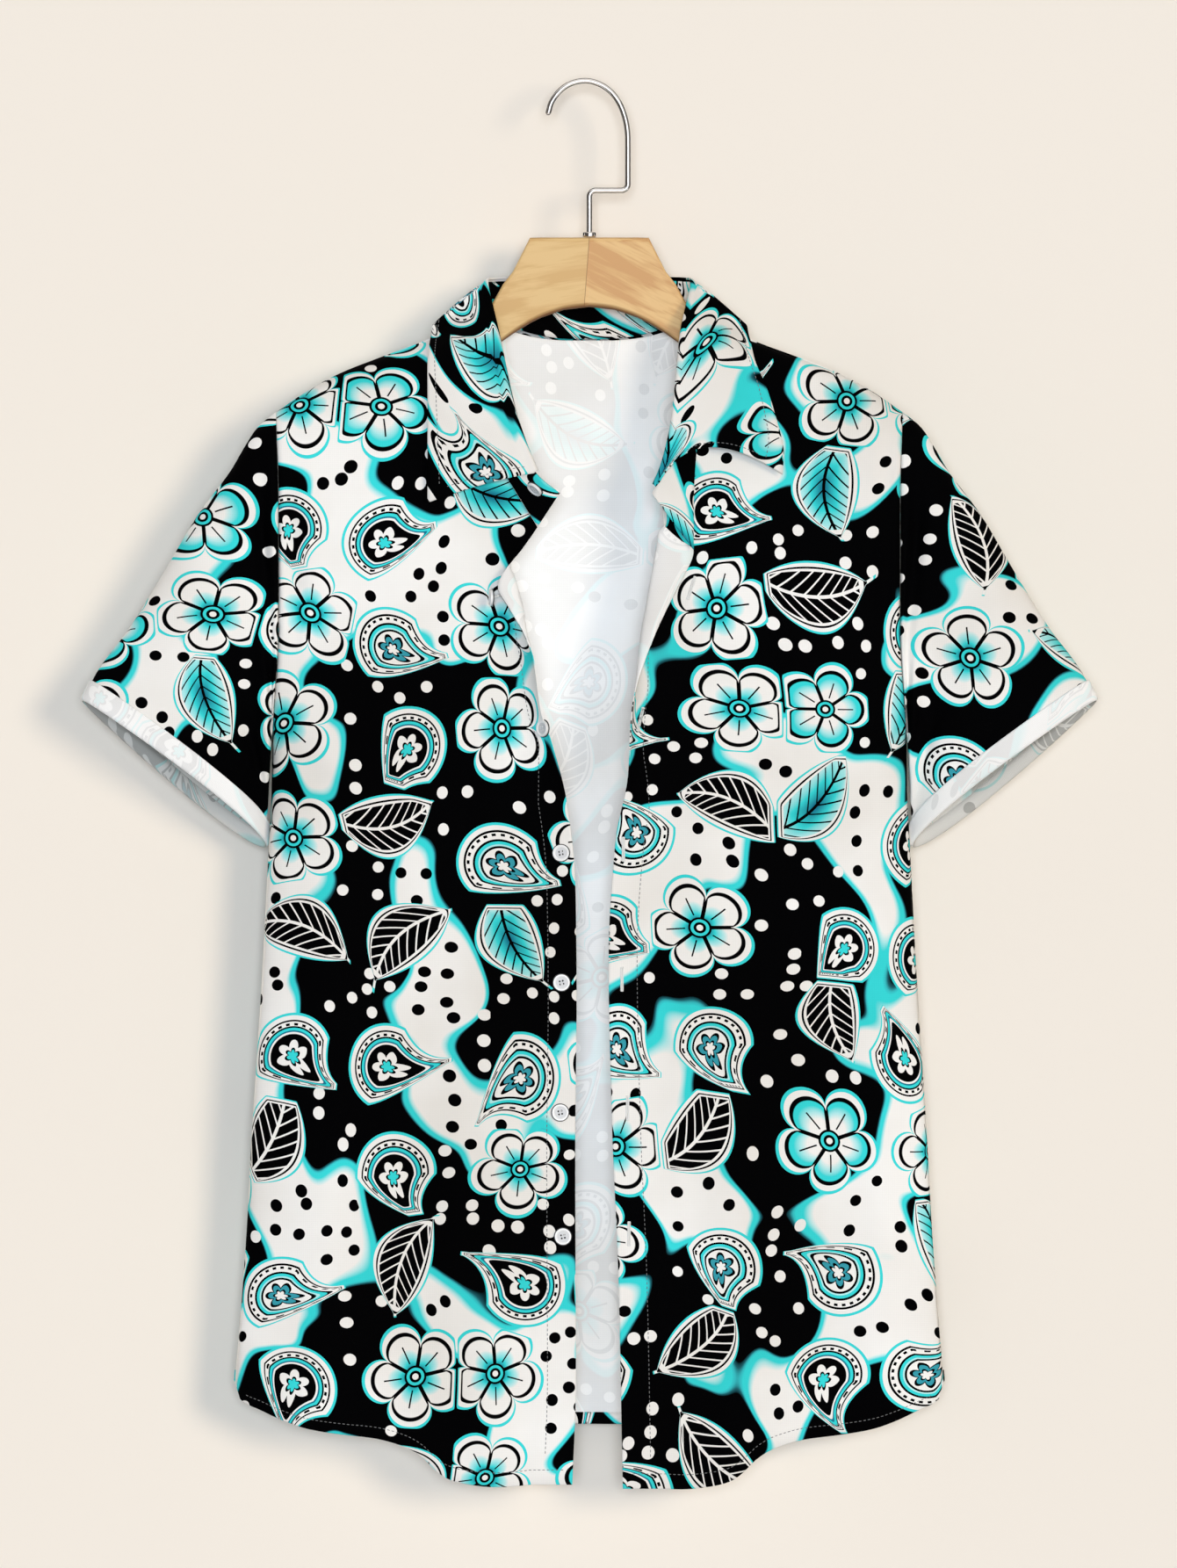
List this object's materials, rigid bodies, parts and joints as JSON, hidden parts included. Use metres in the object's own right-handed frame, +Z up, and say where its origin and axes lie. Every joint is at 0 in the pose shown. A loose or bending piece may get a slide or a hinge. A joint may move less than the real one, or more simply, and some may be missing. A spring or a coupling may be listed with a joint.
{
  "type": "short-sleeved button-up shirt on a wooden hanger",
  "caption": "Loose short-sleeved shirt in printed cloth, open at the front with a turned-down collar, on a wooden hanger with a wire hook.",
  "frame": {"origin": "inside top of the hook, where a rail carries it", "axes": "+Z up, -Y the way the shirt's front faces, +X to the viewer's right"},
  "size_m": [0.7182, 0.0999, 0.9953],
  "materials": {
    "printed_cloth": "light plain weave, printed on the face",
    "cloth_reverse": "pale reverse of the print",
    "button": "polished, four holes",
    "wood": "satin lacquer",
    "hook_metal": "polished plating"
  },
  "bodies": {
    "root": {"front_left": "printed_cloth", "front_right": "printed_cloth", "back": "printed_cloth", "sleeve_left": "printed_cloth", "sleeve_right": "printed_cloth", "collar_stand": "printed_cloth", "collar_fall": "printed_cloth", "cuff_left": "cloth_reverse", "cuff_right": "cloth_reverse", "button_1": "button", "button_2": "button", "button_3": "button", "button_4": "button", "button_5": "button", "button_6": "button", "button_7": "button", "hanger_left": "wood", "hanger_right": "wood", "hanger_hook": "hook_metal", "hanger_ferrule": "hook_metal"}
  },
  "joints": []
}
